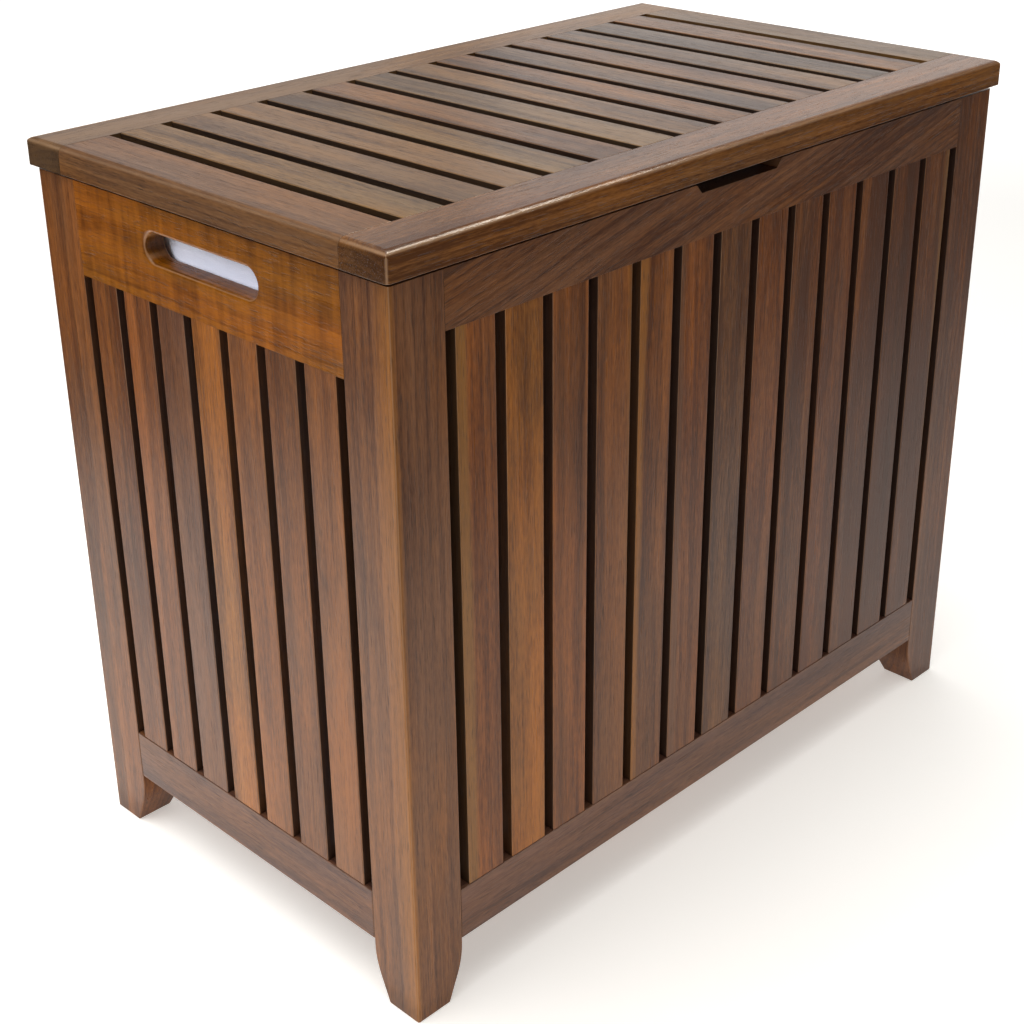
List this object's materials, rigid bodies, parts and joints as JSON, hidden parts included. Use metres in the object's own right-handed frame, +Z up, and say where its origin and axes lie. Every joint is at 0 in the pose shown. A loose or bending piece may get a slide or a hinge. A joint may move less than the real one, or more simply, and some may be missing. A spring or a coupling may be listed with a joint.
{
  "type": "laundry hamper",
  "caption": "Slatted wooden laundry hamper on tapered feet, with a hinged slatted lid, hand slots in both ends and a hanging cloth bag.",
  "frame": {"origin": "centre of the footprint on the floor, midway between the four feet", "axes": "+X along the front to the right as seen from the front, -Y is the front and +Z is up"},
  "size_m": [0.609, 0.351, 0.5245],
  "materials": {
    "teak_frame": "oiled satin",
    "teak_golden": "oiled satin",
    "teak_red": "oiled satin",
    "teak_brown": "oiled satin",
    "teak_olive": "oiled satin",
    "teak_grey": "oiled satin",
    "teak_dark": "oiled satin",
    "brass": "brushed",
    "rubber": "matt",
    "cotton": "woven"
  },
  "bodies": {
    "hamper": {"post_front_left": "teak_frame", "post_front_right": "teak_frame", "post_rear_left": "teak_frame", "post_rear_right": "teak_frame", "top_rail_front": "teak_frame", "top_rail_rear": "teak_frame", "top_rail_left": "teak_golden", "top_rail_right": "teak_golden", "bottom_rail_front": "teak_frame", "bottom_rail_rear": "teak_frame", "bottom_rail_left": "teak_frame", "bottom_rail_right": "teak_frame", "slat_front_1": "teak_olive", "slat_front_2": "teak_golden", "slat_front_3": "teak_dark", "slat_front_4": "teak_red", "slat_front_5": "teak_golden", "slat_front_6": "teak_brown", "slat_front_7": "teak_grey", "slat_front_8": "teak_red", "slat_front_9": "teak_brown", "slat_front_10": "teak_red", "slat_front_11": "teak_brown", "slat_front_12": "teak_dark", "slat_front_13": "teak_golden", "slat_left_1": "teak_grey", "slat_left_2": "teak_red", "slat_left_3": "teak_grey", "slat_left_4": "teak_brown", "slat_left_5": "teak_red", "slat_left_6": "teak_grey", "slat_left_7": "teak_golden", "slats_rear": "teak_brown", "slats_right": "teak_brown", "floor_slats": "teak_brown", "hinge_leaves_body": "brass", "hinge_pins": "brass", "hinge_screws_body": "brass", "bag_studs": "brass", "laundry_bag": "cotton"},
    "lid": {"lid_rail_front": "teak_frame", "lid_rail_rear": "teak_frame", "lid_rail_left": "teak_frame", "lid_rail_right": "teak_frame", "lid_slat_1": "teak_brown", "lid_slat_2": "teak_grey", "lid_slat_3": "teak_red", "lid_slat_4": "teak_brown", "lid_slat_5": "teak_olive", "lid_slat_6": "teak_grey", "lid_slat_7": "teak_brown", "lid_slat_8": "teak_dark", "lid_slat_9": "teak_brown", "lid_slat_10": "teak_red", "lid_slat_11": "teak_grey", "lid_slat_12": "teak_brown", "lid_slat_13": "teak_olive", "hinge_leaves_lid": "brass", "hinge_screws_lid": "brass", "lid_bumpers": "rubber"}
  },
  "joints": [
    {"name": "lid_hinge", "type": "hinge", "parent": "hamper", "child": "lid", "pos_m": [0, 0.17055, 0.505], "axis": [-1, 0, 0], "range_deg": [0, 100]}
  ]
}
